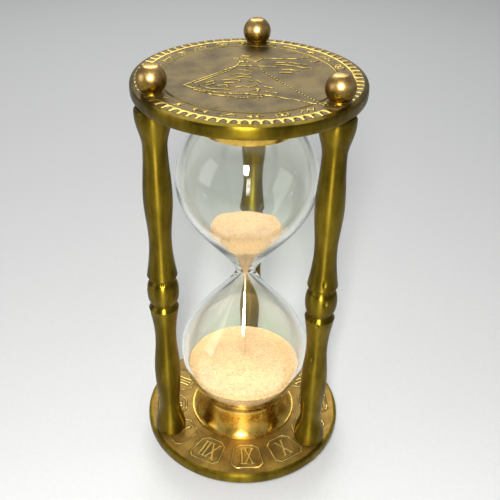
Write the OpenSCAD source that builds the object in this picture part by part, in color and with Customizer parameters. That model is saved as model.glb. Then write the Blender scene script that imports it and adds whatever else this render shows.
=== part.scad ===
// Brass sand timer: two cast plates held apart by three turned pillars, with a
// blown double bulb of sand seated in a collar on each plate. The origin is the
// centre of the base on the table, +Z up, millimetres.

/* [Plates] */
// Diameter of the upper plate
top_plate_d = 80; // [78:0.5:84]
// Diameter of the base plate, wider for a steady stance
base_plate_d = 84; // [82:0.5:92]
// Thickness of each plate
plate_t = 4.8; // [4:0.2:7]
// How far the soft rim falls back at its two edges
rim_round = 1.3; // [0.6:0.1:1.6]
// Height of the cast rings, beads, frames and numerals above a plate's face
relief_h = 0.35; // [0.2:0.05:0.6]

/* [Pillars] */
// Clear height between the two plates
gap_h = 147; // [147:1:150]
// Distance from the timer's axis to a pillar's axis
pillar_axis_r = 34.4; // [34:0.1:35]
// Diameter of the pillar's foot and head where they meet the plates
foot_d = 12.6; // [11:0.1:13]
// Diameter of the narrow neck next to the foot
neck_d = 8.5; // [7.5:0.1:9.5]
// Diameter of the long swell
swell_d = 10.4; // [9:0.1:11.5]
// Diameter of the slim waist between the swell and the middle
waist_d = 8.3; // [7.5:0.1:9.5]
// Diameter of the bead at mid height and of the lips on each side of it
bead_d = 12; // [11:0.1:13]

/* [Fasteners] */
// Diameter of the six threaded studs
stud_d = 4; // [3:0.5:4]
// Diameter of a ball nut, used on top as a finial and below as a foot
ball_d = 10; // [9:0.1:11]

/* [Glass] */
// Largest outer diameter of a bulb
bulb_d = 52.6; // [50:0.2:53]
// Outer diameter at the neck
glass_neck_d = 7.6; // [6:0.2:9]
// Wall of the bulb's round end
glass_wall = 1.4; // [1:0.1:1.6]
// Diameter of the hole that meters the sand
orifice_d = 2; // [1.2:0.1:2.4]
// Diameter of the filler hole in the upper end
filler_d = 6; // [5:0.5:7]

/* [Collars] */
// Outer diameter of a collar at its lip
lip_d = 36.8; // [36.4:0.1:37.6]
// Outer diameter of a collar's flared foot
flare_d = 44.6; // [43:0.2:47]
// Height of a collar
collar_h = 12; // [11.6:0.1:12.4]

/* [Sand] */
// Height of the upper sand's edge above the neck, in twentieths of the flank
upper_sand_steps = 9; // [4:1:18]
// Angle of the lower sand's edge below the bulb's widest ring
lower_sand_a = 18; // [0:6:60]
// Rise of the lower mound, and depth of the dip in the upper sand
sand_mound = 2.5; // [1:0.5:4]

/* [Hidden] */
$fn = 96;

// The three pillar stations around the timer
back_a = 90;
left_a = 210;
right_a = 330;
stations = [back_a, left_a, right_a];

// A ball nut stands on a short turned seat and ends in a small flat
ball_rise = 0.42 * ball_d;
ball_flat = 0.45 * ball_d;
ball_h = ball_rise + ball_flat;
ball_seat_d = 0.68 * ball_d;
ball_seat_h = 0.9;

// Levels from the table up
base_z = ball_h;
floor_z = base_z + plate_t;
mid_z = floor_z + gap_h / 2;
ceiling_z = floor_z + gap_h;
top_z = ceiling_z + plate_t;

// How far a stud and its tapped holes reach into a pillar and into a ball
stud_in_pillar = 8;
stud_in_ball = 6;
hole_spare = 0.6;
stud_clearance = 0.2;

// Pillar levels, up from the plate for the lower half
foot_edge = 1.2;
foot_z = 2.5;
neck_z = 14;
swell_z = 33.5;
waist_z = 51;
lip_z = 66;
groove_z = 67.6;
bead_z = 69;
groove_d = bead_d - 3.4;
bead_end_d = bead_d - 2.2;
lip_spindle_d = bead_d - 0.6;

// Bulb: an egg-shaped end, a full shoulder and a funnel whose wall thickens to the neck
bulb_r = bulb_d / 2;
bulb_centre = 39.5;
bulb_end_h = 28.3;
flank_power = 1.36;
arc_step = 6;
flank_steps = 20;
flank_step = bulb_centre / flank_steps;

// Sand: top of the lower mound below the neck, and the stream's share of the orifice
lower_sand_top = sand_mound - end_point(lower_sand_a, glass_wall)[1];
stream_share = 0.6;

// Cork seats reach over this part of the bulb's round end
seat_inner_a = 78;
seat_outer_a = 54;
collar_bore_d = 32.4;

// The stopper reaches into the bulb, rests on its brim and stays clear of the plate
stopper_reach = 1;
stopper_brim = 1;
stopper_gap = 1;

// Collar: clearance to the bulb, and the bevels of its lip and its foot
lip_gap = 0.1;
lip_bevel = 0.3;
flare_edge = 0.8;
flare_end = 2.2;

// Cast face of the base plate: twelve framed hour numerals
frame_r = 31.4;
frame_w = 12.4;
frame_l = 12.6;
frame_line = 0.9;
frame_corner = 1.3;
hour_twelve_a = -112;
numeral_h = 7;
numeral_w = 2.6;
stroke_w = 0.9;
seat_spare = 0.5;

// Cast face of the top plate: two rings with a band of beads between them
ring_inner_r = 30;
ring_outer_r = 35.2;
ring_line = 0.8;
band_beads = 24;
band_bead_d = 3;

function ease(t) = (1 - cos(180 * t)) / 2;
function late_ease(t) = 1 - cos(90 * t);

// Pillar radius at height z above the plate, up to the lip below the bead
function spindle_r(z) =
    z < foot_z ? foot_d / 2 :
    z < neck_z ? foot_d / 2 + (neck_d - foot_d) / 2 * ease((z - foot_z) / (neck_z - foot_z)) :
    z < swell_z ? neck_d / 2 + (swell_d - neck_d) / 2 * ease((z - neck_z) / (swell_z - neck_z)) :
    z < waist_z ? swell_d / 2 + (waist_d - swell_d) / 2 * ease((z - swell_z) / (waist_z - swell_z)) :
    waist_d / 2 + (lip_spindle_d - waist_d) / 2 * late_ease((z - waist_z) / (lip_z - waist_z));

// Half of the pillar's outline, from the plate to the middle of the bead
function half_outline() = concat(
    [for (a = [0:30:90])
        [foot_d / 2 - foot_edge * (1 - sin(a)), foot_edge * (1 - cos(a))]],
    [for (z = [foot_z:1.5:lip_z]) [spindle_r(z), z]],
    [[groove_d / 2, groove_z]],
    [[bead_end_d / 2, bead_z]],
    [for (a = [30:30:60])
        [bead_end_d / 2 + (bead_d - bead_end_d) / 2 * sin(a),
         bead_z + (gap_h / 2 - bead_z) * (1 - cos(a))]],
    [[bead_d / 2, gap_h / 2]]);

// Radii at distance u from the middle of the neck, out to the widest ring. The wall
// is thickest at the neck, and thins evenly all the way up the funnel.
function glass_outer_r(u) =
    glass_neck_d / 2 + (bulb_r - glass_neck_d / 2) * pow(sin(90 * u / bulb_centre), flank_power);
function funnel_wall(u) =
    let (neck_wall = (glass_neck_d - orifice_d) / 2)
    neck_wall + (glass_wall - neck_wall) * u / bulb_centre;
function glass_inner_r(u) = glass_outer_r(u) - funnel_wall(u);

// Round end of the bulb, or of its hollow when inset by the wall
function end_point(a, inset) = [(bulb_r - inset) * cos(a), bulb_centre + (bulb_end_h - inset) * sin(a)];
function end_height(r, inset) = (bulb_end_h - inset) * sqrt(1 - pow(r / (bulb_r - inset), 2));

// Outlines of one bulb, from the neck up to its filler hole
filler_r = filler_d / 2;
last_arc_a = 78;
function outer_half() = concat(
    [for (i = [0:flank_steps - 1]) [glass_outer_r(i * flank_step), i * flank_step]],
    [for (a = [0:arc_step:last_arc_a]) end_point(a, 0)]);
function inner_half() = concat(
    [for (i = [0:flank_steps - 1]) [glass_inner_r(i * flank_step), i * flank_step]],
    [for (a = [0:arc_step:last_arc_a]) end_point(a, glass_wall)]);

function backwards(points) = [for (i = [len(points) - 1:-1:0]) points[i]];

module plate(d) {
    r = d / 2;
    rim = [for (i = [0:12]) let (t = i / 6 - 1)
        [r - rim_round + rim_round * pow(1 - pow(abs(t), 3), 1 / 3), plate_t * i / 12]];
    difference() {
        rotate_extrude() polygon(concat([[0, 0]], rim, [[0, plate_t]]));
        for (a = stations) rotate(a) translate([pillar_axis_r, 0, -1])
            cylinder(d = stud_d + 2 * stud_clearance, h = plate_t + 2);
    }
}

// Relief is faced away around each pillar station, so that the pieces seat flat
module cleared_relief(seat_d) {
    difference() {
        children();
        for (a = stations) rotate(a) translate([pillar_axis_r, 0, -1])
            cylinder(d = seat_d + 2 * seat_spare, h = relief_h + 2);
    }
}

module ring(r, w) {
    difference() {
        cylinder(r = r + w / 2, h = relief_h);
        translate([0, 0, -1]) cylinder(r = r - w / 2, h = relief_h + 2);
    }
}

// One raised bar of a numeral, from its foot to its head across the width
module stroke(foot_x, head_x) {
    lean = atan2(head_x - foot_x, numeral_h);
    translate([(foot_x + head_x) / 2, 0, relief_h / 2]) rotate(-lean)
        cube([stroke_w, numeral_h / cos(lean), relief_h], center = true);
}

// Hour numeral as a row of strokes: each mark is a foot and a head position
module numeral(marks) {
    for (mark = marks) stroke(mark[0], mark[1]);
}

function one(x) = [[x, x]];
function five(x) = [[x, x - numeral_w / 2], [x, x + numeral_w / 2]];
function ten(x) = [[x - numeral_w / 2, x + numeral_w / 2], [x + numeral_w / 2, x - numeral_w / 2]];

HOURS = [
    one(0), concat(one(-0.8), one(0.8)), concat(one(-1.7), one(0), one(1.7)),
    concat(one(-2), five(0.9)), five(0), concat(five(-0.9), one(2)),
    concat(five(-1.8), one(1), one(2.7)), concat(five(-2.4), one(0), one(1.5), one(3)),
    concat(one(-2), ten(0.9)), ten(0), concat(ten(-0.9), one(2)),
    concat(ten(-1.8), one(1), one(2.7))];

// Octagon that stands on a flat, stretched a little along the radius
module octagon(w, l) {
    intersection() {
        square([w, l], center = true);
        rotate(22.5) circle(d = frame_corner * w, $fn = 8);
    }
}

module hour_frame() {
    linear_extrude(relief_h) difference() {
        octagon(frame_w, frame_l);
        octagon(frame_w - 2 * frame_line, frame_l - 2 * frame_line);
    }
}

module base_plate() {
    color("#8a6a3a") translate([0, 0, base_z]) {
        plate(base_plate_d);
        translate([0, 0, plate_t]) cleared_relief(foot_d)
            for (hour = [1:12]) rotate(hour_twelve_a - 30 * hour - 90) translate([0, frame_r, 0]) {
                hour_frame();
                numeral(HOURS[hour - 1]);
            }
    }
}

module top_plate() {
    color("#7d6a2e") translate([0, 0, ceiling_z]) {
        plate(top_plate_d);
        translate([0, 0, plate_t]) cleared_relief(ball_seat_d) {
            ring(ring_inner_r, ring_line);
            ring(ring_outer_r, ring_line);
            for (i = [0:band_beads - 1]) rotate(360 * (i + 0.5) / band_beads)
                translate([(ring_inner_r + ring_outer_r) / 2, 0, 0])
                    cylinder(d = band_bead_d, h = relief_h);
        }
    }
}

// Collar with a flared foot on the plate and a lip that follows the bulb
module collar() {
    bore_r = collar_bore_d / 2;
    lip_drop = (gap_h / 2 - bulb_centre - collar_h) / bulb_end_h;
    lip_in_r = lip_gap + bulb_r * sqrt(1 - pow(lip_drop, 2));
    bore_h = gap_h / 2 - bulb_centre - end_height(bore_r, -lip_gap) - lip_gap;
    flare = (flare_d - lip_d) / 2;
    flare_top = collar_h - flare_end;
    rotate_extrude() polygon(concat(
        [[bore_r, 0], [flare_d / 2, 0]],
        [for (a = [0:10:90])
            [flare_d / 2 - flare * sin(a), flare_top - (flare_top - flare_edge) * cos(a)]],
        [[lip_d / 2, collar_h - lip_bevel], [lip_d / 2 - lip_bevel, collar_h],
         [lip_in_r, collar_h], [bore_r, bore_h]]));
}

module lower_collar() color("#c79a34") translate([0, 0, floor_z]) collar();
module upper_collar() color("#c79a34") translate([0, 0, ceiling_z]) mirror([0, 0, 1]) collar();

module pillar(a) {
    color("#857423") rotate(a) translate([pillar_axis_r, 0, floor_z]) difference() {
        rotate_extrude() polygon(concat([[0, 0]], half_outline(),
            [for (p = backwards(half_outline())) [p[0], gap_h - p[1]]], [[0, gap_h]]));
        translate([0, 0, -1]) cylinder(d = stud_d, h = stud_in_pillar + hole_spare + 1);
        translate([0, 0, gap_h - stud_in_pillar - hole_spare])
            cylinder(d = stud_d, h = stud_in_pillar + hole_spare + 1);
    }
}

module pillar_back() pillar(back_a);
module pillar_left() pillar(left_a);
module pillar_right() pillar(right_a);

module ball_nut() {
    difference() {
        union() {
            intersection() {
                translate([0, 0, ball_rise]) sphere(d = ball_d);
                cylinder(d = 2 * ball_d, h = ball_h);
            }
            cylinder(d = ball_seat_d, h = ball_seat_h);
        }
        translate([0, 0, -1]) cylinder(d = stud_d, h = stud_in_ball + hole_spare + 1);
    }
}

module finial(a) color("#a07a30") rotate(a) translate([pillar_axis_r, 0, top_z]) ball_nut();
module foot(a) color("#a07a30") rotate(a) translate([pillar_axis_r, 0, base_z])
    mirror([0, 0, 1]) ball_nut();

module finial_back() finial(back_a);
module finial_left() finial(left_a);
module finial_right() finial(right_a);
module foot_back() foot(back_a);
module foot_left() foot(left_a);
module foot_right() foot(right_a);

module stud(a, low_z) {
    color("#b39a55") rotate(a) translate([pillar_axis_r, 0, low_z])
        cylinder(d = stud_d, h = stud_in_pillar + plate_t + stud_in_ball);
}

module top_stud_back() stud(back_a, ceiling_z - stud_in_pillar);
module top_stud_left() stud(left_a, ceiling_z - stud_in_pillar);
module top_stud_right() stud(right_a, ceiling_z - stud_in_pillar);
module base_stud_back() stud(back_a, base_z - stud_in_ball);
module base_stud_left() stud(left_a, base_z - stud_in_ball);
module base_stud_right() stud(right_a, base_z - stud_in_ball);

// The two bulbs are blown apart and fused at the neck. The lower one has a closed
// end, and the upper one a filler hole.
module lower_bulb() {
    end_h = bulb_centre + bulb_end_h;
    color("#d8e2d0", 0.4) translate([0, 0, mid_z]) mirror([0, 0, 1]) rotate_extrude() polygon(concat(
        outer_half(), [[0, end_h], [0, end_h - glass_wall]], backwards(inner_half())));
}

module upper_bulb() {
    hole_out = [filler_r, bulb_centre + end_height(filler_r, 0)];
    hole_in = [filler_r, bulb_centre + end_height(filler_r, glass_wall)];
    color("#d8e2d0", 0.4) translate([0, 0, mid_z]) rotate_extrude() polygon(concat(
        outer_half(), [hole_out, hole_in], backwards(inner_half())));
}

// Cork dish between a plate and the bulb's round end
module seat() {
    dish = [for (a = [seat_inner_a:-arc_step:seat_outer_a]) let (p = end_point(a, 0))
        [p[0], gap_h / 2 - p[1]]];
    rotate_extrude() polygon(concat(
        [[bulb_r * cos(seat_inner_a), 0]], dish, [[bulb_r * cos(seat_outer_a), 0]]));
}

module lower_seat() color("#a98558") translate([0, 0, floor_z]) seat();
module upper_seat() color("#a98558") translate([0, 0, ceiling_z]) mirror([0, 0, 1]) seat();

module filler_stopper() {
    head_z = mid_z + bulb_centre + bulb_end_h;
    plug_h = glass_wall + stopper_reach;
    color("#a98558") {
        translate([0, 0, head_z - plug_h]) cylinder(d = filler_d, h = plug_h);
        translate([0, 0, head_z])
            cylinder(d = filler_d + 2 * stopper_brim, h = ceiling_z - head_z - stopper_gap);
    }
}

module lower_sand() {
    bed = [for (a = [90 - arc_step:-arc_step:lower_sand_a])
        let (p = end_point(a, glass_wall)) [p[0], -p[1]]];
    color("#dcb489") translate([0, 0, mid_z]) rotate_extrude() polygon(concat(
        [[0, glass_wall - bulb_centre - bulb_end_h]], bed, [[0, lower_sand_top]]));
}

module upper_sand() {
    funnel = [for (i = [0:upper_sand_steps]) [glass_inner_r(i * flank_step), i * flank_step]];
    color("#dcb489") translate([0, 0, mid_z]) rotate_extrude() polygon(concat(
        [[0, 0]], funnel, [[0, upper_sand_steps * flank_step - sand_mound]]));
}

module falling_sand() {
    color("#e2bf95") translate([0, 0, mid_z + lower_sand_top])
        cylinder(d = stream_share * orifice_d, h = -lower_sand_top);
}

base_plate();
top_plate();
lower_collar();
upper_collar();
pillar_back();
pillar_left();
pillar_right();
finial_back();
finial_left();
finial_right();
foot_back();
foot_left();
foot_right();
top_stud_back();
top_stud_left();
top_stud_right();
base_stud_back();
base_stud_left();
base_stud_right();
lower_bulb();
upper_bulb();
lower_seat();
upper_seat();
filler_stopper();
lower_sand();
upper_sand();
falling_sand();
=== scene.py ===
import math

import bpy
import numpy as np
from mathutils import Matrix, Vector


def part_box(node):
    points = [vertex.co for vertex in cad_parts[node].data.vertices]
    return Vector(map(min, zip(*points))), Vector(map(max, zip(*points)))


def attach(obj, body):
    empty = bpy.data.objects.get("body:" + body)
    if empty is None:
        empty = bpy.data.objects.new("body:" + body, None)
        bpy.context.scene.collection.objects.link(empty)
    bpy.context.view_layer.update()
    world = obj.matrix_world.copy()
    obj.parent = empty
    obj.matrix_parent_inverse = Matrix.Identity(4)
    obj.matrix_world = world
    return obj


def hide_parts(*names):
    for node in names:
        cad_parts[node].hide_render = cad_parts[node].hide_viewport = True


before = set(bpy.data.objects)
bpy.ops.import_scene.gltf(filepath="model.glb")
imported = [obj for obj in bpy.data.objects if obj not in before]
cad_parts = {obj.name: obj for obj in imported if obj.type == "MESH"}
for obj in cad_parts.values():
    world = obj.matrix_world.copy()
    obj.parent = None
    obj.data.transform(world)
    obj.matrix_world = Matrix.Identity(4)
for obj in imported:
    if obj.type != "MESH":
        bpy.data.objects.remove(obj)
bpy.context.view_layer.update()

# ---------------------------------------------------------------- Base plate
# A sand-cast brass disc with twelve framed Roman hour numerals standing proud of
# its upper face. The rim is turned soft, and the casting keeps a brown oxide skin
# that handling has rubbed through on every raised line.

# Sizes are in millimetres, apart from the studio's, and MM turns them into metres
MM = 0.001
SHARP_EDGE = math.radians(38)
PLATE_T = 4.8
RIM_ROUND = 1.3
RIM_STEPS = 15
UNDERSIDE_START_R, UNDERSIDE_RINGS = 4, 8
RELIEF_H = 0.35
CAST_SHARE = 0.88
FACE_MARGIN = 0.6
RING_STEP = 0.3
AROUND = 600
DRAFT = 0.2
SKIN_WAVE = 0.035
SKIN_SWELLS = 9
SWELL_LENGTHS = (3, 14)
TURNED_EDGE = 0.1


def ridge(distance, width):
    """Share of full height across a cast line: a flat crest with drafted sides."""
    side = np.clip((width / 2 + DRAFT - distance) / (2 * DRAFT), 0, 1)
    return side * side * (3 - 2 * side)


def stroke_relief(x, y, points, width):
    """Relief of one line drawn through the points, as a share of full height."""
    height = np.zeros_like(x)
    for (ax, ay), (bx, by) in zip(points, points[1:]):
        dx, dy = bx - ax, by - ay
        along = np.clip(((x - ax) * dx + (y - ay) * dy) / (dx * dx + dy * dy), 0, 1)
        height = np.maximum(height, ridge(np.hypot(x - ax - along * dx, y - ay - along * dy), width))
    return height


def skin_wave(x, y, seed):
    """Slow unevenness of a cast face, from -1 to 1, as a few crossing swells."""
    rng = np.random.default_rng(seed)
    total = np.zeros_like(x)
    for _ in range(SKIN_SWELLS):
        heading, phase = rng.uniform(0, 2 * np.pi, 2)
        length = rng.uniform(*SWELL_LENGTHS)
        total += np.sin((x * np.cos(heading) + y * np.sin(heading)) * 2 * np.pi / length + phase)
    return total / SKIN_SWELLS * 2


def new_piece(name, points, faces, material, slot, *replaced):
    """Puts a mesh given in millimetres into the scene, standing for the replaced nodes."""
    mesh = bpy.data.meshes.new(name)
    mesh.from_pydata((np.asarray(points) * MM).tolist(), [], faces)
    mesh.shade_smooth()
    mesh.set_sharp_from_angle(angle=SHARP_EDGE)
    mesh.materials.append(material)
    piece = bpy.data.objects.new(name, mesh)
    bpy.context.collection.objects.link(piece)
    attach(piece, "root")
    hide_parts(*replaced)
    return piece


def ring_faces(rows):
    """Joins rows of vertex numbers, where a row is a ring or one pole, with faces."""
    faces = []
    for low, high in zip(rows, rows[1:]):
        for i in range(max(len(low), len(high))):
            j = i + 1
            corners = [low[i % len(low)], low[j % len(low)], high[j % len(high)], high[i % len(high)]]
            faces.append(list(dict.fromkeys(corners)))
    return faces


def cast_disc(name, node, relief, seed, skin, rim):
    """A cast plate: plain below, turned at the rim, with relief over its upper face."""
    low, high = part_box(node)
    radius, low_z = min(high.x, high.y) / MM, low.z / MM
    face_r = radius - RIM_ROUND
    outline = [(r, 0.0) for r in np.linspace(UNDERSIDE_START_R, face_r, UNDERSIDE_RINGS)]
    for t in np.linspace(-1, 1, RIM_STEPS)[1:-1]:
        outline.append((face_r + RIM_ROUND * (1 - abs(t) ** 3) ** (1 / 3), PLATE_T * (1 + t) / 2))
    outline += [(r, PLATE_T) for r in np.arange(face_r, RING_STEP / 2, -RING_STEP)]
    turns = np.linspace(0, 2 * np.pi, AROUND, endpoint=False)
    rings = np.array(outline)
    x = rings[:, :1] * np.cos(turns)
    y = rings[:, :1] * np.sin(turns)
    z = rings[:, 1:] + 0 * x
    on_face = np.clip((face_r - rings[:, :1]) / FACE_MARGIN, 0, 1) * (rings[:, 1:] == PLATE_T)
    z += on_face * (RELIEF_H * CAST_SHARE * relief(x, y) + SKIN_WAVE * (skin_wave(x, y, seed) - 1))
    points = np.stack([x, y, z + low_z], -1).reshape(-1, 3)
    ends = [(0, 0, low_z), (0, 0, low_z + PLATE_T - SKIN_WAVE)]
    rows = [[len(points)]] + [range(i * AROUND, (i + 1) * AROUND) for i in range(len(rings))]
    rows.append([len(points) + 1])
    piece = new_piece(name, np.vstack([points, ends]), ring_faces(rows), skin, "plate_brass", node)
    piece.data.materials.append(rim)
    for face in piece.data.polygons:
        corner = points[min(face.vertices) % len(points)]
        if math.hypot(corner[0], corner[1]) > face_r - TURNED_EDGE:
            face.material_index = 1
    return piece


def linear(hex_colour):
    """An sRGB hex colour as the linear RGBA that a shader takes."""
    parts = [int(hex_colour[i:i + 2], 16) / 255 for i in (1, 3, 5)]
    return [p / 12.92 if p <= 0.04045 else ((p + 0.055) / 1.055) ** 2.4 for p in parts] + [1]


def add(tree, kind, inputs, **settings):
    """Adds a node with its settings, and gives each input a value or another node's output."""
    node = tree.nodes.new("ShaderNode" + kind)
    for name, value in settings.items():
        setattr(node, name, value)
    for key, value in inputs.items():
        if isinstance(value, bpy.types.NodeSocket):
            tree.links.new(value, node.inputs[key])
        else:
            node.inputs[key].default_value = value
    return node


def start_material(name):
    """A new material with an empty node tree, and the place of each surface point."""
    material = bpy.data.materials.new(name)
    material.use_nodes = True
    tree = material.node_tree
    tree.nodes.clear()
    return material, tree, add(tree, "TexCoord", {}).outputs["Object"]


def oxidised_cast_brass(name, face_z, dark_skin, light_skin, bare):
    """Brown oxide skin in the hollows reads dull and warm, and the crests of the
    relief are rubbed to yellow metal, which flashes in the light."""
    material, tree, place = start_material(name)
    height = add(tree, "SeparateXYZ", {0: place}).outputs["Z"]
    blotch = add(tree, "TexNoise", {"Vector": place, "Scale": 1 / (9 * MM), "Detail": 4,
                                    "Roughness": 0.6})
    grit = add(tree, "TexNoise", {"Vector": place, "Scale": 1 / (0.8 * MM), "Detail": 3,
                                  "Roughness": 0.7})
    brown = add(tree, "MapRange", {"Value": blotch.outputs[0], 1: 0.3, 2: 0.7},
                interpolation_type="SMOOTHSTEP")
    skin = add(tree, "Mix", {0: brown.outputs[0], 6: linear(dark_skin), 7: linear(light_skin)},
               data_type="RGBA")
    spots = add(tree, "MapRange", {"Value": grit.outputs[0], 1: 0.42, 2: 0.3, 3: 0.0, 4: 0.75})
    speckled = add(tree, "Mix", {0: spots.outputs[0], 6: skin.outputs[2], 7: linear("#33260f")},
                   data_type="RGBA")
    foot = add(tree, "MapRange", {"Value": height, 1: face_z - 0.02 * MM, 2: face_z + 0.08 * MM,
                                  3: 0.0, 4: 0.55})
    grimy = add(tree, "Mix", {0: foot.outputs[0], 6: speckled.outputs[2], 7: linear("#3a2c14")},
                data_type="RGBA")
    crest = add(tree, "MapRange", {"Value": height, 1: face_z + 0.13 * MM, 2: face_z + 0.22 * MM})
    worn = add(tree, "MapRange", {"Value": blotch.outputs[0], 1: 0.3, 2: 0.5, 3: 0.75, 4: 1.0})
    rubbed = add(tree, "Math", {0: crest.outputs[0], 1: worn.outputs[0]}, operation="MULTIPLY")
    faced = add(tree, "Mix", {0: rubbed.outputs[0], 6: grimy.outputs[2], 7: linear(bare)},
                data_type="RGBA")
    dull = add(tree, "MapRange", {"Value": rubbed.outputs[0], 3: 0.46, 4: 0.34})
    rough = add(tree, "MapRange", {"Value": grit.outputs[0], 1: 0.3, 2: 0.7, 3: -0.07, 4: 0.07})
    roughness = add(tree, "Math", {0: dull.outputs[0], 1: rough.outputs[0]}, operation="ADD")
    metallic = add(tree, "MapRange", {"Value": rubbed.outputs[0], 3: 0.8, 4: 1.0})
    bump = add(tree, "Bump", {"Height": grit.outputs[0], "Strength": 0.28, "Distance": 0.12 * MM})
    shader = add(tree, "BsdfPrincipled", {
        "Base Color": faced.outputs[2], "Metallic": metallic.outputs[0],
        "Roughness": roughness.outputs[0], "Normal": bump.outputs[0]})
    add(tree, "OutputMaterial", {"Surface": shader.outputs[0]})
    return material


def tarnished_turned_brass():
    """Olive-brown tarnish over turned brass: the lathe's fine rings spread every
    highlight across themselves, so a lamp draws a narrow gold streak along the axis."""
    material, tree, place = start_material("tarnished_turned_brass")
    stretch = add(tree, "VectorMath", {0: place, 1: (1, 1, 0.35)}, operation="MULTIPLY").outputs[0]
    cloud = add(tree, "TexNoise", {"Vector": stretch, "Scale": 1 / (6 * MM), "Detail": 5,
                                   "Roughness": 0.62})
    grain = add(tree, "TexNoise", {"Vector": place, "Scale": 1 / (0.7 * MM), "Detail": 3,
                                   "Roughness": 0.7})
    lines = add(tree, "TexWave", {"Vector": place, "Scale": 0.05 / (0.4 * MM), "Distortion": 2.5,
                                  "Detail": 2, "Detail Scale": 2}, wave_type="BANDS", bands_direction="Z")
    tarnish = add(tree, "MapRange", {"Value": cloud.outputs[0], 1: 0.36, 2: 0.64},
                  interpolation_type="SMOOTHSTEP")
    tone = add(tree, "Mix", {0: tarnish.outputs[0], 6: linear("#5f4e10"), 7: linear("#7d691c")},
               data_type="RGBA")
    fleck = add(tree, "MapRange", {"Value": grain.outputs[0], 1: 0.37, 2: 0.27, 3: 0.0, 4: 0.7})
    colour = add(tree, "Mix", {0: fleck.outputs[0], 6: tone.outputs[2], 7: linear("#3d3008")},
                 data_type="RGBA")
    rough = add(tree, "MapRange", {"Value": cloud.outputs[0], 1: 0.3, 2: 0.7, 3: 0.4, 4: 0.32})
    height = add(tree, "Math", {0: lines.outputs[1], 1: grain.outputs[0]}, operation="ADD")
    bump = add(tree, "Bump", {"Height": height.outputs[0], "Strength": 0.16, "Distance": 0.06 * MM})
    around = add(tree, "Tangent", {}, direction_type="RADIAL", axis="Z")
    shader = add(tree, "BsdfPrincipled", {
        "Base Color": colour.outputs[2], "Metallic": 1.0, "Roughness": rough.outputs[0],
        "Normal": bump.outputs[0], "Anisotropic": 0.9, "Anisotropic Rotation": 0.25,
        "Tangent": around.outputs[0]})
    add(tree, "OutputMaterial", {"Surface": shader.outputs[0]})
    return material


olive_brass = tarnished_turned_brass()
FRAME_R = 31.4
FRAME_W, FRAME_L = 12.4, 12.6
FRAME_CORNER = 7.3
FRAME_TAPER = 0.16
FRAME_LINE = 0.6
HOUR_TWELVE = -112
NUMERAL_H = 7.8
NUMERAL_W = 3
STEM_W, HAIR_W = 0.75, 0.45
SERIF_HALF = 0.85
BASE_SEED = 3


def one(at):
    """Feet and heads of the strokes of a I that stands at a place across the numeral."""
    return [(at, at)]


def five(at):
    """The same for a V."""
    return [(at, at - NUMERAL_W / 2), (at, at + NUMERAL_W / 2)]


def ten(at):
    """The same for an X."""
    return [(at - NUMERAL_W / 2, at + NUMERAL_W / 2), (at + NUMERAL_W / 2, at - NUMERAL_W / 2)]


# Feet and heads of the strokes across each numeral, from one to twelve
HOURS = [
    one(0), one(-0.8) + one(0.8), one(-1.7) + one(0) + one(1.7), one(-2) + five(0.9),
    five(0), five(-0.9) + one(2), five(-1.8) + one(1) + one(2.7),
    five(-2.4) + one(0) + one(1.5) + one(3), one(-2) + ten(0.9), ten(0),
    ten(-0.9) + one(2), ten(-1.8) + one(1) + one(2.7)]


def hour_relief(x, y):
    """Twelve octagonal frames, each round a numeral whose head points outwards."""
    height = np.zeros_like(x)
    for hour, marks in enumerate(HOURS, 1):
        angle = math.radians(HOUR_TWELVE - 30 * hour)
        out = x * math.cos(angle) + y * math.sin(angle) - FRAME_R
        side = x * math.sin(angle) - y * math.cos(angle)
        inside = np.maximum(np.abs(side) - FRAME_W / 2 - FRAME_TAPER * out, np.abs(out) - FRAME_L / 2)
        corner = (np.abs(side) - FRAME_TAPER * out + np.abs(out)) / math.sqrt(2) - FRAME_CORNER
        edge = np.abs(np.maximum(inside, corner) + FRAME_LINE / 2)
        height = np.maximum(height, ridge(edge, FRAME_LINE))
        for foot, head in marks:
            ends = [(foot, -NUMERAL_H / 2), (head, NUMERAL_H / 2)]
            height = np.maximum(height, stroke_relief(side, out, ends, STEM_W))
            for at, level in ends:
                serif = [(at - SERIF_HALF, level), (at + SERIF_HALF, level)]
                height = np.maximum(height, stroke_relief(side, out, serif, HAIR_W))
    return height


base_low, base_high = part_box("base_plate")
floor_z = base_high.z - RELIEF_H * MM
coppery_skin = oxidised_cast_brass("oxidised_cast_brass_base", floor_z, "#705726", "#9a7a38", "#ead27a")
cast_disc("hour_plate", "base_plate", hour_relief, BASE_SEED, coppery_skin, olive_brass)

# ---------------------------------------------------------------- Top plate
# The same casting with another pattern: a border of small arches, a band of little
# ornaments, and inside a plain ring a line picture of a headland under clouds, with
# a dotted route out to sea.

PICTURE_R = 30
BORDER_R = 35.2
BORDER_OUT = 38.3
# Each arch is an oval hollow: its reach inwards, half its width as a share of the
# pitch, how far its middle is inside the outer line, and its soft edge's start and width
ARCHES = 72
ARCH_DEPTH = 2.1
ARCH_SHARE = 0.34
ARCH_LINE = 0.5
ARCH_SOFT = (0.85, 0.3)
BORDER_IN_W, BORDER_OUT_W = 0.7, 0.3
BAND_R = (PICTURE_R + BORDER_R) / 2
BAND_MARKS = 24
MARK_W = 0.45
MARK_REACH = (4, 3)
LINE_W = 0.55
TOP_SEED = 8


def circle(cx, cy, r):
    """A small ring as an eight-sided line."""
    return [(cx + r * math.cos(a), cy + r * math.sin(a)) for a in np.linspace(0, 2 * np.pi, 9)]


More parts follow.
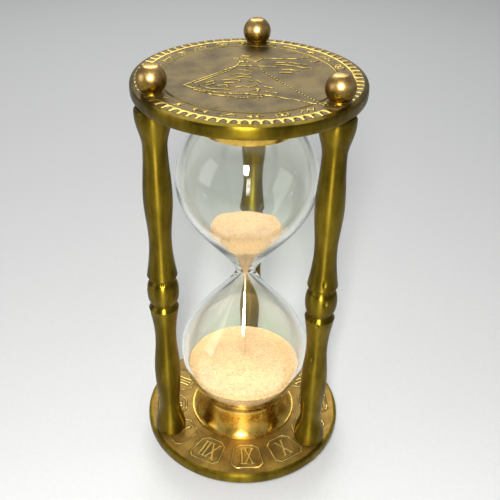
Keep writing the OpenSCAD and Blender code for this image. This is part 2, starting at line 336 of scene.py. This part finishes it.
# Ornaments of the band, each drawn round its own middle, tangent and outwards
SPRIG = [[(-2.6, 0), (2.6, 0.2)], [(-1.4, -1.4), (-0.4, 0), (-1.4, 1.4)],
         [(0.6, -1.4), (1.6, 0), (0.6, 1.4)]]
STAR = [[(-1.5, 0), (1.5, 0)], [(-0.8, -1.3), (0.8, 1.3)], [(0.8, -1.3), (-0.8, 1.3)]]
WAVE = [[(-2.8, -0.8), (-1.7, 0.9), (-0.6, -0.7), (0.6, 0.9), (1.7, -0.7), (2.8, 0.8)]]
KNOT = [circle(-1.1, 0, 1), circle(1.1, 0, 1), [(-0.4, -1.5), (0.4, -1.5)]]
ARROW = [[(-2.5, 0), (2.4, 0)], [(1.2, 1.3), (2.5, 0), (1.2, -1.3)], [(-2.2, 1), (-1.3, 0), (-2.2, -1)]]
SCROLL = [[(-2.4, 1), (-2.6, -0.4), (-1.2, -1.2), (0, 0), (1.2, 1.2), (2.6, 0.4), (2.4, -1)]]
ORNAMENTS = [SPRIG, KNOT, WAVE, STAR, ARROW, SCROLL]

# Line picture in millimetres from the plate's centre
PICTURE = [
    [(-20.5, -10.5), (-14, -14), (-6, -15.6), (3, -15.2), (10, -16.4), (18, -19), (25, -21.6)],
    [(-17, -13.6), (-10, -17.2), (-2, -18.6), (4, -17.6), (8, -15.6)],
    [(-20.5, -10.5), (-16, -4.5), (-10, 2.6), (-5.4, 9.2), (-2.6, 16.4)],
    [(-17.5, -8.6), (-12, -1.6), (-7.2, 4.6), (-5, 9.6), (8.6, 9.9)],
    [(-6.6, 16.6), (-1.4, 16.2), (1.2, 14), (3.2, 17.2), (9, 18), (15.2, 18.4)],
    [(-5, 19.4), (-1, 19.2)], [(-4.6, 13.6), (-1.2, 13)],
    [(8.4, 14), (13, 14.6), (18.6, 13)], [(8, 12.2), (14, 11.6), (20.4, 9.6)],
    [(10.4, 7.2), (13.4, 7.8), (16, 6.6)], [(9.6, 4.6), (14, 4.8)],
    [(16.6, 21), (18.2, 19.6), (20, 20.8)], [(19.6, 17.6), (21.2, 16.4), (22.8, 17.4)],
    [(-15.4, -9.6), (-13, -11.6), (-9, -12.6), (-4, -12.2)],
    [(-13.6, -7.6), (-11.6, -5.8), (-10.8, -8), (-13, -9.4)],
    [(-9.8, -9.8), (-6.6, -8.2), (-6.2, -10)], [(-8.4, -4.6), (-5.2, -3.6), (-2.6, -4.2)],
    [(-7.6, -7), (-4.2, -6.2)], [(-3.6, -10.4), (-1, -8.6), (0.8, -9.8), (2.8, -7.6)],
    [(-6, 0.6), (-3.8, 1.8), (-1.4, 0.8), (0.8, 2.4)], [(-4.4, 4.8), (-2, 5.6), (0.4, 4.4)],
    [(-4, -1.4), (-1.6, -0.4), (0.6, -1.6)], [(0.4, -4.6), (2.6, -3.4), (4.6, -5.2)],
    [(1.8, -12), (4, -10.6), (3.4, -13)], [(5.4, -8.2), (8.2, -9.6)], [(6, -12.6), (10, -13.4)]]
SEA_ROUTE = ((3.6, 6), (24.6, -21))
ROUTE_DOTS = 23
ROUTE_DOT_W = 0.75
ROUTE_BEND = 3.5


def headland_relief(x, y):
    """Border arches, band of ornaments, ring and picture, as a share of full height."""
    radius, angle = np.hypot(x, y), np.arctan2(y, x)
    inner_ring = ridge(np.abs(radius - PICTURE_R), LINE_W)
    height = np.maximum(inner_ring, ridge(np.abs(radius - BORDER_R), BORDER_IN_W))
    cell = (angle * ARCHES / (2 * np.pi)) % 1 - 0.5
    hollow = np.hypot(cell / ARCH_SHARE, (BORDER_OUT - ARCH_LINE - radius) / ARCH_DEPTH)
    in_border = ridge(np.abs(radius - (BORDER_R + BORDER_OUT) / 2), BORDER_OUT - BORDER_R)
    height = np.maximum(height, in_border * np.clip((hollow - ARCH_SOFT[0]) / ARCH_SOFT[1], 0, 1))
    height = np.maximum(height, ridge(np.abs(radius - BORDER_OUT), BORDER_OUT_W))
    for i in range(BAND_MARKS):
        middle = 2 * math.pi * (i + 0.5) / BAND_MARKS
        out = x * math.cos(middle) + y * math.sin(middle) - BAND_R
        side = x * math.sin(middle) - y * math.cos(middle)
        near = (np.abs(side) < MARK_REACH[0]) & (np.abs(out) < MARK_REACH[1])
        for points in ORNAMENTS[i % len(ORNAMENTS)]:
            mark = stroke_relief(side[near], out[near], points, MARK_W)
            height[near] = np.maximum(height[near], mark)
    # The picture's lines waver by a tenth of a millimetre or two, like hand-cut ones
    wobble = 0.15 * np.sin(x * 0.9 + y * 0.5) + 0.12 * np.sin(y * 1.3 - x)
    for points in PICTURE:
        height = np.maximum(height, stroke_relief(x + wobble, y + wobble, points, LINE_W))
    (ax, ay), (bx, by) = SEA_ROUTE
    for t in np.linspace(0, 1, ROUTE_DOTS):
        dot = np.hypot(x - ax - t * (bx - ax), y - ay - t * (by - ay) - ROUTE_BEND * t * (t - 1))
        height = np.maximum(height, ridge(dot, ROUTE_DOT_W))
    return height


top_low, top_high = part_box("top_plate")
face_z = top_high.z - RELIEF_H * MM
brown_skin = oxidised_cast_brass("oxidised_cast_brass_top", face_z, "#4c3f20", "#6f5e33", "#c2a850")
cast_disc("picture_plate", "top_plate", headland_relief, TOP_SEED, brown_skin, olive_brass)

# ---------------------------------------------------------------- Collars
# Turned brass rings, one on each plate, that cup the ends of the glass. They are
# the best kept brass of the timer: the wall is smooth and the foot flares out in a
# hollow sweep that catches the light.

COLLAR_BORE_R = 16.2
LIP_R = 18.4
FLARE_R = 22.3
COLLAR_H = 12
FLARE_EDGE, FLARE_END = 0.85, 2.2
COLLAR_STEPS = 144
BULB_R, BULB_END_H, BULB_CENTRE = 26.3, 28.3, 39.5
LIP_GAP = 0.1
HALF_GAP = 73.5


def lathe(name, outline, steps, material, slot, *replaced, centre=(0, 0), ring=False):
    """Turns an outline of (radius, height) points about an upright axis."""
    turns = np.linspace(0, 2 * np.pi, steps, endpoint=False)
    points, rows = [], []
    for r, z in outline:
        at = turns if r else turns[:1]
        rows.append(range(len(points), len(points) + len(at)))
        points += [(centre[0] + r * math.cos(a), centre[1] + r * math.sin(a), z) for a in at]
    if ring:
        rows.append(rows[0])
    return new_piece(name, points, ring_faces(rows), material, slot, *replaced)


def collar_outline(low_z, way):
    """Section of a collar that stands on low_z, upright (way 1) or hanging (way -1)."""
    lip_in = LIP_GAP + BULB_R * math.sqrt(1 - ((HALF_GAP - BULB_CENTRE - COLLAR_H) / BULB_END_H) ** 2)
    bulb_drop = BULB_END_H * math.sqrt(1 - (COLLAR_BORE_R / BULB_R) ** 2)
    bore_h = HALF_GAP - BULB_CENTRE - bulb_drop - 2 * LIP_GAP
    sweep, sweep_top = FLARE_R - LIP_R, COLLAR_H - FLARE_END
    section = [(COLLAR_BORE_R, 0), (FLARE_R - 0.15, 0), (FLARE_R, 0.2), (FLARE_R, 0.7)]
    for a in np.radians(np.linspace(0, 90, 25)):
        section.append((FLARE_R - sweep * math.sin(a), sweep_top - (sweep_top - FLARE_EDGE) * math.cos(a)))
    section += [(LIP_R, COLLAR_H - 0.35), (LIP_R - 0.1, COLLAR_H - 0.1), (LIP_R - 0.35, COLLAR_H)]
    section += [(lip_in + 0.15, COLLAR_H), (lip_in, COLLAR_H - 0.15), (COLLAR_BORE_R, bore_h)]
    return [(r, low_z + way * h) for r, h in section[::way]]


def polished_turned_brass():
    """Bright yellow brass with fine lathe lines, which draw the highlight into a soft
    streak, and a thin uneven tarnish that clouds it."""
    material, tree, place = start_material("polished_turned_brass")
    cloud = add(tree, "TexNoise", {"Vector": place, "Scale": 1 / (7 * MM), "Detail": 5, "Roughness": 0.6})
    grain = add(tree, "TexNoise", {"Vector": place, "Scale": 1 / (0.9 * MM), "Detail": 3,
                                   "Roughness": 0.65})
    lines = add(tree, "TexWave", {"Vector": place, "Scale": 0.05 / (0.35 * MM), "Distortion": 1.5,
                                  "Detail": 2, "Detail Scale": 3}, wave_type="BANDS", bands_direction="Z")
    tarnish = add(tree, "MapRange", {"Value": cloud.outputs[0], 1: 0.35, 2: 0.65},
                  interpolation_type="SMOOTHSTEP")
    tone = add(tree, "Mix", {0: tarnish.outputs[0], 6: linear("#c69b3c"), 7: linear("#ecc868")},
               data_type="RGBA")
    fleck = add(tree, "MapRange", {"Value": grain.outputs[0], 1: 0.32, 2: 0.26, 3: 0.0, 4: 0.5})
    colour = add(tree, "Mix", {0: fleck.outputs[0], 6: tone.outputs[2], 7: linear("#54401a")},
                 data_type="RGBA")
    rough = add(tree, "MapRange", {"Value": cloud.outputs[0], 1: 0.3, 2: 0.7, 3: 0.24, 4: 0.32})
    bump = add(tree, "Bump", {"Height": lines.outputs[1], "Strength": 0.04, "Distance": 0.03 * MM})
    around = add(tree, "Tangent", {}, direction_type="RADIAL", axis="Z")
    shader = add(tree, "BsdfPrincipled", {
        "Base Color": colour.outputs[2], "Metallic": 1.0, "Roughness": rough.outputs[0],
        "Normal": bump.outputs[0], "Anisotropic": 0.85, "Anisotropic Rotation": 0.25,
        "Tangent": around.outputs[0]})
    add(tree, "OutputMaterial", {"Surface": shader.outputs[0]})
    return material


bright_brass = polished_turned_brass()
plate_gap = (floor_z / MM, top_low.z / MM)
for name, outline, node in (
        ("glass_collar_low", collar_outline(plate_gap[0], 1), "lower_collar"),
        ("glass_collar_high", collar_outline(plate_gap[1], -1), "upper_collar")):
    lathe(name, outline, COLLAR_STEPS, bright_brass, "collar_brass", node, ring=True)

# ---------------------------------------------------------------- Pillars
# Three brass rods, each turned to a pair of long spindles with a bead between two
# grooves at mid height. They were cast first, so a few blow holes break the
# surface, and an olive tarnish covers them.

PILLAR_R = 34.4
STATIONS = {"back": 90, "left": 210, "right": 330}
FOOT_R, NECK_R, SWELL_R, WAIST_R, LIP_SPINDLE_R, BEAD_R = 6.3, 4.25, 5.2, 4.15, 5.7, 6.0
FOOT_Z, NECK_Z, SWELL_Z, WAIST_Z, LIP_Z, GROOVE_Z, BEAD_Z = 2.5, 14, 33.5, 51, 66, 67.6, 69
FOOT_EDGE = 1.2
GROOVE_R, BEAD_END_R = 4.3, 4.9
SPINDLE_STEP = 0.8
PILLAR_STEPS = 112


def ease(t):
    """A soft start and a soft end between 0 and 1."""
    return (1 - math.cos(math.pi * t)) / 2


def spindle_r(z):
    """Radius of a spindle at height z above its plate, up to the lip by the bead."""
    if z < FOOT_Z:
        return FOOT_R
    if z < NECK_Z:
        return FOOT_R + (NECK_R - FOOT_R) * ease((z - FOOT_Z) / (NECK_Z - FOOT_Z))
    if z < SWELL_Z:
        return NECK_R + (SWELL_R - NECK_R) * ease((z - NECK_Z) / (SWELL_Z - NECK_Z))
    if z < WAIST_Z:
        return SWELL_R + (WAIST_R - SWELL_R) * ease((z - SWELL_Z) / (WAIST_Z - SWELL_Z))
    turn = math.pi / 2 * (z - WAIST_Z) / (LIP_Z - WAIST_Z)
    return WAIST_R + (LIP_SPINDLE_R - WAIST_R) * (1 - math.cos(turn))


def half_pillar():
    """Outline from the plate up to the middle of the bead."""
    section = [(FOOT_R - FOOT_EDGE * (1 - math.sin(a)), FOOT_EDGE * (1 - math.cos(a)))
               for a in np.linspace(0, math.pi / 2, 7)]
    section += [(spindle_r(z), z) for z in np.arange(FOOT_Z, LIP_Z - 0.5, SPINDLE_STEP)]
    # The lip, the groove's bottom and the bead's end are eased by a tenth or two
    section += [(LIP_SPINDLE_R - 0.06, LIP_Z - 0.25), (LIP_SPINDLE_R, LIP_Z)]
    section += [(LIP_SPINDLE_R - 0.08, LIP_Z + 0.16)]
    section += [(GROOVE_R + 0.12, GROOVE_Z - 0.12), (GROOVE_R + 0.12, GROOVE_Z + 0.12)]
    section += [(BEAD_END_R - 0.08, BEAD_Z - 0.1)]
    for a in np.linspace(0, math.pi / 2, 9):
        section.append((BEAD_END_R + (BEAD_R - BEAD_END_R) * math.sin(a),
                        BEAD_Z + (HALF_GAP - BEAD_Z) * (1 - math.cos(a))))
    return section


def station(angle):
    """Middle of a pillar at an angle in degrees round the timer."""
    return PILLAR_R * math.cos(math.radians(angle)), PILLAR_R * math.sin(math.radians(angle))


def sink_pits(piece, centre, pits):
    """Sinks blow holes into a turned piece: a pit is its angle, height, radius and depth."""
    for vertex in piece.data.vertices:
        x, y, z = vertex.co / MM
        dx, dy = x - centre[0], y - centre[1]
        r = math.hypot(dx, dy)
        if r == 0:
            continue
        for angle, level, size, depth in pits:
            turn = (math.atan2(dy, dx) - math.radians(angle) + math.pi) % (2 * math.pi) - math.pi
            away = math.hypot(turn * r, z - level) / size
            if away < 1:
                sunk = 1 - depth * (1 - away * away) / r
                vertex.co.x, vertex.co.y = (centre[0] + dx * sunk) * MM, (centre[1] + dy * sunk) * MM


half = half_pillar()
full_pillar = [(0, 0)] + half + [(r, 2 * HALF_GAP - z) for r, z in half[-2::-1]] + [(0, 2 * HALF_GAP)]
pillar_outline = [(r, z + plate_gap[0]) for r, z in full_pillar]
# Each pit's angle in degrees round the pillar, then its height, radius and depth
PITS = {
    "back": [(250, 120, 0.8, 0.5)],
    "left": [(280, 92.5, 0.7, 0.5), (255, 46, 0.6, 0.3)],
    "right": [(238, 80.4, 1.0, 0.7), (262, 78.8, 0.8, 0.6), (285, 89, 0.9, 0.6), (250, 60.5, 0.7, 0.5),
              (276, 97.6, 0.8, 0.4)]}
for side, angle in STATIONS.items():
    spindle = lathe("spindle_" + side, pillar_outline, PILLAR_STEPS, olive_brass, "pillar_brass",
                    "pillar_" + side, centre=station(angle))
    sink_pits(spindle, station(angle), PITS[side])

# ---------------------------------------------------------------- Studs
# Six lengths of threaded brass rod. Each runs from a pillar through a plate into a
# ball nut, and tightening the balls pulls the whole timer together.


def threaded_rod_brass():
    """Pale raw brass with the regular light and dark of a rolled thread."""
    material, tree, place = start_material("threaded_rod_brass")
    thread = add(tree, "TexWave", {"Vector": place, "Scale": 0.05 / (0.7 * MM)}, wave_type="BANDS",
                 bands_direction="Z", wave_profile="TRI")
    colour = add(tree, "Mix", {0: thread.outputs[1], 6: linear("#8c7434"), 7: linear("#d9bf78")},
                 data_type="RGBA")
    bump = add(tree, "Bump", {"Height": thread.outputs[1], "Strength": 0.9, "Distance": 0.4 * MM})
    shader = add(tree, "BsdfPrincipled", {
        "Base Color": colour.outputs[2], "Metallic": 1.0, "Roughness": 0.35, "Normal": bump.outputs[0]})
    add(tree, "OutputMaterial", {"Surface": shader.outputs[0]})
    return material


def dress(node, material):
    """Gives a CAD node its finish."""
    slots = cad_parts[node].data.materials
    slots.clear()
    slots.append(material)


rod_brass = threaded_rod_brass()
for side in STATIONS:
    dress("top_stud_" + side, rod_brass)
    dress("base_stud_" + side, rod_brass)

# ---------------------------------------------------------------- Ball nuts
# Turned brass balls, tapped from one side and parted off with a small flat on the other. Three are finials
# and three are feet. Hands have given them a coppery brown tone that is smoother than the pillars. Their
# colour also holds painted light from above: lighter and coppery where they face up, darker olive where
# they face down.

BALL_R = 5
BALL_RISE = 4.2
BALL_FLAT = 4.5
BALL_SEAT_R = 3.4
BALL_SEAT_H = 0.9
FLAT_EDGE = 0.12
BALL_STEPS = 96


def ball_outline(seat_z, way):
    """Section of a ball nut seated on seat_z, standing (way 1) or hanging (way -1)."""
    seat_a = math.asin((BALL_SEAT_H - BALL_RISE) / BALL_R)
    flat_a = math.asin((BALL_FLAT - FLAT_EDGE) / BALL_R)
    section = [(0, 0), (BALL_SEAT_R - 0.2, 0), (BALL_SEAT_R, 0.2), (BALL_SEAT_R, BALL_SEAT_H)]
    for a in np.linspace(seat_a, flat_a, 40):
        section.append((BALL_R * math.cos(a), BALL_RISE + BALL_R * math.sin(a)))
    end_z = BALL_RISE + BALL_FLAT
    section += [(math.sqrt(BALL_R ** 2 - BALL_FLAT ** 2) - 0.05, end_z), (0, end_z)]
    return [(r, seat_z + way * z) for r, z in section[::way]]


def copper_toned_brass_with_painted_top_light():
    """Coppery brass with painted light from above: painted lighter and coppery where it faces up and
    darker olive where it faces down, with one soft highlight."""
    material, tree, place = start_material("copper_toned_brass_with_painted_top_light")
    cloud = add(tree, "TexNoise", {"Vector": place, "Scale": 1 / (4 * MM), "Detail": 5, "Roughness": 0.6})
    grain = add(tree, "TexNoise", {"Vector": place, "Scale": 1 / (0.5 * MM), "Detail": 3,
                                   "Roughness": 0.65})
    # Painted light from above: faces turned up are painted lighter and coppery, faces turned down are
    # painted darker olive
    facing = add(tree, "SeparateXYZ", {0: add(tree, "NewGeometry", {}).outputs["Normal"]}).outputs["Z"]
    painted_top_light_share = add(tree, "MapRange", {"Value": facing, 1: -0.3, 2: 0.5}, interpolation_type="SMOOTHSTEP")
    tarnish = add(tree, "MapRange", {"Value": cloud.outputs[0], 1: 0.36, 2: 0.64},
                  interpolation_type="SMOOTHSTEP")
    copper_and_painted_light = add(tree, "Mix", {0: tarnish.outputs[0], 6: linear("#a8864e"), 7: linear("#d0ac6a")},
                 data_type="RGBA")
    olive_and_painted_shade = add(tree, "Mix", {0: tarnish.outputs[0], 6: linear("#60490f"), 7: linear("#8a7026")},
                data_type="RGBA")
    tone = add(tree, "Mix", {0: painted_top_light_share.outputs[0], 6: olive_and_painted_shade.outputs[2], 7: copper_and_painted_light.outputs[2]},
               data_type="RGBA")
    fleck = add(tree, "MapRange", {"Value": grain.outputs[0], 1: 0.36, 2: 0.28, 3: 0.0, 4: 0.6})
    colour = add(tree, "Mix", {0: fleck.outputs[0], 6: tone.outputs[2], 7: linear("#40270f")},
                 data_type="RGBA")
    rough = add(tree, "MapRange", {"Value": grain.outputs[0], 1: 0.3, 2: 0.7, 3: 0.28, 4: 0.4})
    bump = add(tree, "Bump", {"Height": grain.outputs[0], "Strength": 0.1, "Distance": 0.05 * MM})
    shader = add(tree, "BsdfPrincipled", {
        "Base Color": colour.outputs[2], "Metallic": 1.0, "Roughness": rough.outputs[0],
        "Normal": bump.outputs[0]})
    add(tree, "OutputMaterial", {"Surface": shader.outputs[0]})
    return material


copper_brass = copper_toned_brass_with_painted_top_light()
for side, angle in STATIONS.items():
    lathe("ball_finial_" + side, ball_outline(face_z / MM, 1), BALL_STEPS, copper_brass, "ball_brass",
          "finial_" + side, centre=station(angle))
    lathe("ball_foot_" + side, ball_outline(base_low.z / MM, -1), BALL_STEPS, copper_brass, "ball_brass",
          "foot_" + side, centre=station(angle))

# ---------------------------------------------------------------- Glass
# Two bulbs of clear soda glass, blown apart and fused at the neck. The wall is thin
# over the round ends, and it gathers thick and faintly green down the funnel to the
# neck. The upper end is open at the filler hole.

GLASS_WALL = 1.4
NECK_R, ORIFICE_R = 3.8, 1
FLANK_POWER = 1.36
FILLER_R = 3
POLE_R = 0.4
GLASS_STEPS = 160
mid_z = plate_gap[0] + HALF_GAP


def outer_r(u):
    """Outer radius of the funnel at distance u from the neck."""
    return NECK_R + (BULB_R - NECK_R) * math.sin(math.pi / 2 * u / BULB_CENTRE) ** FLANK_POWER


def inner_r(u):
    """Inner radius: the wall is thick at the neck and thins evenly up the funnel."""
    neck_wall = NECK_R - ORIFICE_R
    return outer_r(u) - neck_wall + (neck_wall - GLASS_WALL) * u / BULB_CENTRE


def bulb_side(flank, inset, last_r):
    """A bulb's wall from the neck to its round end, as (radius, distance from the neck)."""
    full_r, end_h = BULB_R - inset, BULB_END_H - inset
    funnel = [(flank(u), u) for u in np.linspace(0, BULB_CENTRE, 66)[:-1]]
    return funnel + [(full_r * math.cos(a), BULB_CENTRE + end_h * math.sin(a))
                     for a in np.linspace(0, math.acos(last_r / full_r), 60)]


def glass_outline():
    """Outer wall from the lower end up to the filler hole, then the inner wall back down."""
    section = []
    for flank, inset in ((outer_r, 0), (inner_r, GLASS_WALL)):
        below = [(r, -u) for r, u in bulb_side(flank, inset, POLE_R)][:0:-1]
        wall = [(0, inset - BULB_CENTRE - BULB_END_H)] + below + bulb_side(flank, inset, FILLER_R)
        section += wall[::-1] if inset else wall
    return [(r, z + mid_z) for r, z in section]


def clear_soda_glass():
    """Clear blown glass: bright rims, sharp reflections and a faint green from wall
    after wall. Shadow rays pass through, so that the sand inside is lit."""
    material, tree, place = start_material("clear_soda_glass")
    ripple = add(tree, "TexNoise", {"Vector": place, "Scale": 1 / (16 * MM), "Detail": 1})
    bump = add(tree, "Bump", {"Height": ripple.outputs[0], "Strength": 0.1, "Distance": 0.5 * MM})
    glass = add(tree, "BsdfPrincipled", {
        "Base Color": linear("#fafcf6"), "Roughness": 0.0, "IOR": 1.5, "Transmission Weight": 1.0,
        "Normal": bump.outputs[0]})
    open_way = add(tree, "BsdfTransparent", {"Color": linear("#eef4e8")})
    shadow = add(tree, "LightPath", {}).outputs["Is Shadow Ray"]
    both = add(tree, "MixShader", {0: shadow, 1: glass.outputs[0], 2: open_way.outputs[0]})
    add(tree, "OutputMaterial", {"Surface": both.outputs[0]})
    return material


soda_glass = clear_soda_glass()
lathe("blown_glass", glass_outline(), GLASS_STEPS, soda_glass, "bulb_glass", "lower_bulb", "upper_bulb")

# ---------------------------------------------------------------- Cork seats
# Two dished cork rings, cut to the bulb's round ends, cushion the glass against the
# plates, and a cork stopper closes the filler hole once the sand is in.


def natural_cork():
    """Pale brown bark with dark pores a millimetre or two across, and no gloss."""
    material, tree, place = start_material("natural_cork")
    cells = add(tree, "TexVoronoi", {"Vector": place, "Scale": 1 / (1.6 * MM), "Randomness": 1.0})
    mottle = add(tree, "TexNoise", {"Vector": place, "Scale": 1 / (3 * MM), "Detail": 5,
                                    "Roughness": 0.7})
    bark = add(tree, "Mix", {0: mottle.outputs[0], 6: linear("#8f6a3f"), 7: linear("#c9a06a")},
               data_type="RGBA")
    pore = add(tree, "MapRange", {"Value": cells.outputs["Distance"], 1: 0.22, 2: 0.1, 3: 0.0, 4: 0.8})
    colour = add(tree, "Mix", {0: pore.outputs[0], 6: bark.outputs[2], 7: linear("#4b3018")},
                 data_type="RGBA")
    bump = add(tree, "Bump", {"Height": cells.outputs["Distance"], "Strength": 0.5, "Distance": 0.3 * MM})
    shader = add(tree, "BsdfPrincipled", {
        "Base Color": colour.outputs[2], "Roughness": 0.9, "Normal": bump.outputs[0]})
    add(tree, "OutputMaterial", {"Surface": shader.outputs[0]})
    return material


cork = natural_cork()
for node in ("lower_seat", "upper_seat", "filler_stopper"):
    dress(node, cork)

# ---------------------------------------------------------------- Sand
# Fine dry sand, part way through its run: a bed in the lower bulb with a low mound
# under the stream, a dished plug in the upper funnel, and the falling thread.

SAND_GAP = 0.05
LOWER_EDGE = math.radians(18)
SAND_MOUND = 2.5
UPPER_EDGE_U = BULB_CENTRE * 9 / 20
STREAM_R = 0.48
SAND_STEPS, STREAM_STEPS = 144, 24


def lower_sand_outline():
    """Bed from the bottom of the bulb, up its wall, then over the mound to the middle."""
    full_r, end_h = BULB_R - GLASS_WALL - SAND_GAP, BULB_END_H - GLASS_WALL - SAND_GAP
    wall = [(full_r * math.cos(a), -BULB_CENTRE - end_h * math.sin(a))
            for a in np.linspace(math.pi / 2 - 0.02, LOWER_EDGE, 40)]
    edge_r, edge_z = wall[-1]
    mound = [(edge_r * (1 - t), edge_z + SAND_MOUND * ease(t))
             for t in np.linspace(0, 1, 60)[1:-1]]
    return [(0, -BULB_CENTRE - end_h)] + wall + mound + [(0, edge_z + SAND_MOUND)]


def upper_sand_outline():
    """Plug from the neck, up the funnel, then down into the dip over the orifice."""
    wall = [(inner_r(u) - SAND_GAP, u) for u in np.linspace(0, UPPER_EDGE_U, 50)]
    edge_r = wall[-1][0]
    dip = [(edge_r * (1 - t), UPPER_EDGE_U - SAND_MOUND * t ** 0.9)
           for t in np.linspace(0, 1, 40)[1:-1]]
    return [(0, 0)] + wall + dip + [(0, UPPER_EDGE_U - SAND_MOUND)]


def stream_outline():
    """Falling thread of sand, a little uneven along its length."""
    low = lower_sand_outline()[-1][1]
    levels = np.linspace(low, 0, 90)
    sides = [(STREAM_R * (0.88 + 0.12 * math.sin(2.3 * z) * math.sin(0.9 * z)), z) for z in levels]
    return [(0, low)] + sides + [(0, 0)]


def fine_dry_sand():
    """Pale peach quartz sand with darker and lighter grains, quite matt. Grains are
    drawn at half a millimetre, coarser than the real ones, so that they show."""
    material, tree, place = start_material("fine_dry_sand")
    grains = add(tree, "TexVoronoi", {"Vector": place, "Scale": 1 / (0.5 * MM), "Randomness": 1.0})
    drift = add(tree, "TexNoise", {"Vector": place, "Scale": 1 / (8 * MM), "Detail": 4, "Roughness": 0.6})
    pick = add(tree, "SeparateColor", {0: grains.outputs["Color"]})
    pale = add(tree, "Mix", {0: pick.outputs[0], 6: linear("#9e7656"), 7: linear("#c09e7e")},
               data_type="RGBA")
    dark = add(tree, "MapRange", {"Value": pick.outputs[1], 1: 0.9, 2: 0.97, 3: 0.0, 4: 0.6})
    mixed = add(tree, "Mix", {0: dark.outputs[0], 6: pale.outputs[2], 7: linear("#8a5c3a")},
                data_type="RGBA")
    shade = add(tree, "MapRange", {"Value": drift.outputs[0], 1: 0.35, 2: 0.65, 3: 0.0, 4: 0.35})
    colour = add(tree, "Mix", {0: shade.outputs[0], 6: mixed.outputs[2], 7: linear("#caa47c")},
                 data_type="RGBA")
    bump = add(tree, "Bump", {"Height": grains.outputs["Distance"], "Strength": 0.35,
                              "Distance": 0.2 * MM})
    shader = add(tree, "BsdfPrincipled", {
        "Base Color": colour.outputs[2], "Roughness": 0.95, "Normal": bump.outputs[0]})
    add(tree, "OutputMaterial", {"Surface": shader.outputs[0]})
    return material


sand = fine_dry_sand()
for name, section, node, steps in (
        ("sand_bed", lower_sand_outline(), "lower_sand", SAND_STEPS),
        ("sand_plug", upper_sand_outline(), "upper_sand", SAND_STEPS),
        ("sand_thread", stream_outline(), "falling_sand", STREAM_STEPS)):
    lathe(name, [(r, z + mid_z) for r, z in section], steps, sand, "timer_sand", node)

# ---------------------------------------------------------------- Setting
# A plain pale studio floor, a wide soft light above and behind, a weaker one at the
# left, a small lamp close to the camera for the narrow streaks on the turned brass,
# and the camera.


def matt_studio_paper():
    """Seamless pale paper: even, matt, with a hint of fibre."""
    material, tree, place = start_material("matt_studio_paper")
    fibre = add(tree, "TexNoise", {"Vector": place, "Scale": 1 / (2 * MM), "Detail": 3})
    colour = add(tree, "Mix", {0: fibre.outputs[0], 6: linear("#bcbcba"), 7: linear("#c4c4c2")},
                 data_type="RGBA")
    shader = add(tree, "BsdfPrincipled", {"Base Color": colour.outputs[2], "Roughness": 0.9})
    add(tree, "OutputMaterial", {"Surface": shader.outputs[0]})
    return material


# Half the floor's side in metres, far enough for an even horizon
FLOOR_HALF = 60.0
floor_mesh = bpy.data.meshes.new("studio_floor")
floor_mesh.from_pydata(
    [(x, y, 0) for x, y in ((-FLOOR_HALF, -FLOOR_HALF), (FLOOR_HALF, -FLOOR_HALF),
                            (FLOOR_HALF, FLOOR_HALF), (-FLOOR_HALF, FLOOR_HALF))], [], [(0, 1, 2, 3)])
floor_mesh.materials.append(matt_studio_paper())
studio_floor = bpy.data.objects.new("studio_floor", floor_mesh)
bpy.context.collection.objects.link(studio_floor)


def softbox(name, place, aim, size, power):
    """An area lamp of a width and height in metres at a place, turned to face its aim."""
    lamp = bpy.data.lights.new(name, "AREA")
    lamp.shape, lamp.energy = "RECTANGLE", power
    lamp.size, lamp.size_y = size
    holder = bpy.data.objects.new(name, lamp)
    holder.location = place
    holder.rotation_euler = (Vector(aim) - Vector(place)).to_track_quat("-Z", "Y").to_euler()
    bpy.context.collection.objects.link(holder)


# The middle of the timer in metres, which every lamp faces
MIDDLE = (0, 0, 0.09)
softbox("overhead_softbox", (-0.1, 0.55, 0.75), MIDDLE, (0.6, 0.6), 4.5)
softbox("camera_lamp", (0.01, -0.34, 0.36), MIDDLE, (0.055, 0.09), 3.4)
softbox("side_softbox", (-0.8, -0.3, 0.35), MIDDLE, (0.5, 0.5), 1.2)

world = bpy.data.worlds.new("studio_air")
world.use_nodes = True
world.node_tree.nodes["Background"].inputs["Color"].default_value = linear("#b9bcc2")
world.node_tree.nodes["Background"].inputs["Strength"].default_value = 0.55
bpy.context.scene.world = world
bpy.context.scene.view_settings.view_transform = "Standard"
# Light turns many times inside the thick glass at the neck before it comes out
bpy.context.scene.cycles.max_bounces = 24
bpy.context.scene.cycles.glossy_bounces = 12
bpy.context.scene.cycles.transmission_bounces = 20

CAMERA_LENS = 55.12
CAMERA_PLACE = (18.1, -246.75, 259.63)
CAMERA_LEFT, CAMERA_DOWN, CAMERA_ROLL = (math.radians(a) for a in (4.41, 36.11, 1.03))
CAMERA_SHIFT = (0.0143, 0.07)
camera = bpy.data.cameras.new("camera")
camera.lens = CAMERA_LENS
camera.shift_x, camera.shift_y = CAMERA_SHIFT
camera.clip_start = 0.01
viewer = bpy.data.objects.new("camera", camera)
viewer.matrix_world = (
    Matrix.Translation(Vector(CAMERA_PLACE) * MM) @ Matrix.Rotation(CAMERA_LEFT, 4, "Z")
    @ Matrix.Rotation(math.pi / 2 - CAMERA_DOWN, 4, "X") @ Matrix.Rotation(CAMERA_ROLL, 4, "Z"))
bpy.context.collection.objects.link(viewer)
bpy.context.scene.camera = viewer
